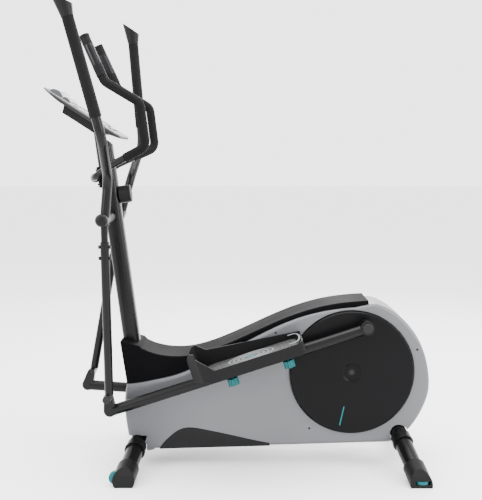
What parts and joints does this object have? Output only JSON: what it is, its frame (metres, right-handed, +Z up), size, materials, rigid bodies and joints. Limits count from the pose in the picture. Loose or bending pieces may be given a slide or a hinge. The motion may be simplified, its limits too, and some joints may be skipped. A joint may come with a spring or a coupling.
{
  "type": "elliptical trainer",
  "caption": "Rear-drive elliptical trainer with swinging handles, fixed pulse bars, pedal arms on a crank disc, a closed drive casing and a console on a mast",
  "frame": {"origin": "centre of the whole machine's bounding box, at floor level", "axes": "+Z up, -X towards the console end, +X towards the rear feet, -Y the user's left side"},
  "size_m": [1.3279, 0.7348, 1.5975],
  "materials": {
    "silver_shell": "satin",
    "charcoal_shell": "satin",
    "dark_trim": "matt",
    "black_tube": "satin",
    "satin_disc": "satin",
    "teal_plastic": "satin",
    "foam_black": "matt",
    "wheel_teal": "satin",
    "steel": "brushed",
    "bolt_steel": "polished",
    "iron": "machined",
    "belt_rubber": "matt",
    "screen": "gloss",
    "button": "gloss",
    "brake_dark": "satin"
  },
  "bodies": {
    "frame": {"main_frame": "black_tube", "front_stabiliser": "black_tube", "rear_stabiliser": "black_tube", "stabiliser_saddles": "black_tube", "frame_bolts": "bolt_steel", "front_end_caps": "dark_trim", "rear_end_caps": "dark_trim", "mast": "black_tube", "casing_left": "silver_shell", "casing_right": "silver_shell", "top_cover": "charcoal_shell", "lower_inserts": "charcoal_shell", "casing_screws": "bolt_steel", "console_housing": "dark_trim", "console_back": "dark_trim", "console_screen": "screen", "fixed_handlebar": "black_tube", "handlebar_foam": "foam_black", "pulse_grips": "dark_trim", "handlebar_clamp": "black_tube", "pivot_axle": "steel", "pivot_bushes": "black_tube", "crank_bearings": "steel", "brake_unit": "brake_dark", "flywheel_axle": "steel", "drive_belt": "belt_rubber", "power_inlet": "dark_trim"},
    "crankset": {"crank_axle": "steel", "crank_arms": "steel", "crank_discs": "satin_disc", "drive_pulley": "dark_trim"},
    "flywheel": {"flywheel": "iron"},
    "mast_knob": {"mast_knob": "dark_trim"},
    "start_button": {"start_button": "button"},
    "plus_button": {"plus_button": "button"},
    "minus_button": {"minus_button": "button"},
    "left_swing_arm": {"left_handle": "black_tube", "left_handle_foam": "foam_black", "left_handle_cap": "dark_trim", "left_lower_arm": "black_tube", "left_arm_fasteners": "bolt_steel"},
    "left_pedal_link": {"left_pedal_arm": "black_tube", "left_pedal": "charcoal_shell", "left_crank_pin": "steel"},
    "left_front_knob": {"left_front_knob": "teal_plastic"},
    "left_rear_knob": {"left_rear_knob": "teal_plastic"},
    "left_transport_wheel": {"left_transport_wheel": "wheel_teal"},
    "left_leveller": {"left_leveller": "teal_plastic"},
    "right_swing_arm": {"right_handle": "black_tube", "right_handle_foam": "foam_black", "right_handle_cap": "dark_trim", "right_lower_arm": "black_tube", "right_arm_fasteners": "bolt_steel"},
    "right_pedal_link": {"right_pedal_arm": "black_tube", "right_pedal": "charcoal_shell", "right_crank_pin": "steel"},
    "right_front_knob": {"right_front_knob": "teal_plastic"},
    "right_rear_knob": {"right_rear_knob": "teal_plastic"},
    "right_transport_wheel": {"right_transport_wheel": "wheel_teal"},
    "right_leveller": {"right_leveller": "teal_plastic"}
  },
  "joints": [
    {"name": "crank_spin", "type": "hinge", "parent": "frame", "child": "crankset", "pos_m": [0.3904, 0, 0.341], "axis": [0, 1, 0], "continuous": true},
    {"name": "flywheel_spin", "type": "hinge", "parent": "frame", "child": "flywheel", "pos_m": [-0.158, 0, 0.243], "axis": [0, 1, 0], "continuous": true},
    {"name": "left_swing", "type": "hinge", "parent": "frame", "child": "left_swing_arm", "pos_m": [-0.4534, -0.2, 0.8798], "axis": [0, 1, 0], "range_deg": [-9.69, 24.1]},
    {"name": "right_swing", "type": "hinge", "parent": "frame", "child": "right_swing_arm", "pos_m": [-0.4534, 0.2, 0.8798], "axis": [0, 1, 0], "range_deg": [-20.3, 8.3]},
    {"name": "left_pedal_pivot", "type": "hinge", "parent": "left_swing_arm", "child": "left_pedal_link", "pos_m": [-0.4511, -0.152, 0.2688], "axis": [0, 1, 0], "range_deg": [-12, 21]},
    {"name": "right_pedal_pivot", "type": "hinge", "parent": "right_swing_arm", "child": "right_pedal_link", "pos_m": [-0.56217, 0.152, 0.27856], "axis": [0, 1, 0], "range_deg": [-10, 21]},
    {"name": "left_front_knob_turn", "type": "hinge", "parent": "left_pedal_link", "child": "left_front_knob", "pos_m": [-0.04462, -0.152, 0.39209], "axis": [-0.3107, 0, 0.9505], "continuous": true},
    {"name": "left_rear_knob_turn", "type": "hinge", "parent": "left_pedal_link", "child": "left_rear_knob", "pos_m": [0.14643, -0.152, 0.45453], "axis": [-0.3107, 0, 0.9505], "continuous": true},
    {"name": "right_front_knob_turn", "type": "hinge", "parent": "right_pedal_link", "child": "right_front_knob", "pos_m": [-0.13913, 0.152, 0.2403], "axis": [0.0687, 0, 0.9976], "continuous": true},
    {"name": "right_rear_knob_turn", "type": "hinge", "parent": "right_pedal_link", "child": "right_rear_knob", "pos_m": [0.06139, 0.152, 0.22649], "axis": [0.0687, 0, 0.9976], "continuous": true},
    {"name": "left_wheel_spin", "type": "hinge", "parent": "frame", "child": "left_transport_wheel", "pos_m": [-0.412, -0.28, 0.029], "axis": [0, 1, 0], "continuous": true},
    {"name": "left_leveller_turn", "type": "hinge", "parent": "frame", "child": "left_leveller", "pos_m": [0.606, -0.28, 0.01], "axis": [0, 0, 1], "continuous": true},
    {"name": "right_wheel_spin", "type": "hinge", "parent": "frame", "child": "right_transport_wheel", "pos_m": [-0.412, 0.28, 0.029], "axis": [0, 1, 0], "continuous": true},
    {"name": "right_leveller_turn", "type": "hinge", "parent": "frame", "child": "right_leveller", "pos_m": [0.606, 0.28, 0.01], "axis": [0, 0, 1], "continuous": true},
    {"name": "mast_knob_turn", "type": "hinge", "parent": "frame", "child": "mast_knob", "pos_m": [-0.40357, 0, 0.95838], "axis": [0.9918, 0, 0.1276], "range_deg": [0, 270]},
    {"name": "minus_press", "type": "slide", "parent": "frame", "child": "minus_button", "axis": [-0.5402, 0, -0.8415], "range_m": [0, 0.0025], "stiffness_N_per_m": 400},
    {"name": "start_press", "type": "slide", "parent": "frame", "child": "start_button", "axis": [-0.5402, 0, -0.8415], "range_m": [0, 0.0025], "stiffness_N_per_m": 400},
    {"name": "plus_press", "type": "slide", "parent": "frame", "child": "plus_button", "axis": [-0.5402, 0, -0.8415], "range_m": [0, 0.0025], "stiffness_N_per_m": 400}
  ],
  "couplings": [
    {"joint": "flywheel_spin", "follows": "crank_spin", "ratio": 5.9},
    {"joint": "right_swing", "follows": "left_swing", "ratio": -0.8365},
    {"joint": "left_pedal_pivot", "follows": "left_swing", "ratio": -0.408},
    {"joint": "right_pedal_pivot", "follows": "left_swing", "ratio": 0.355}
  ]
}
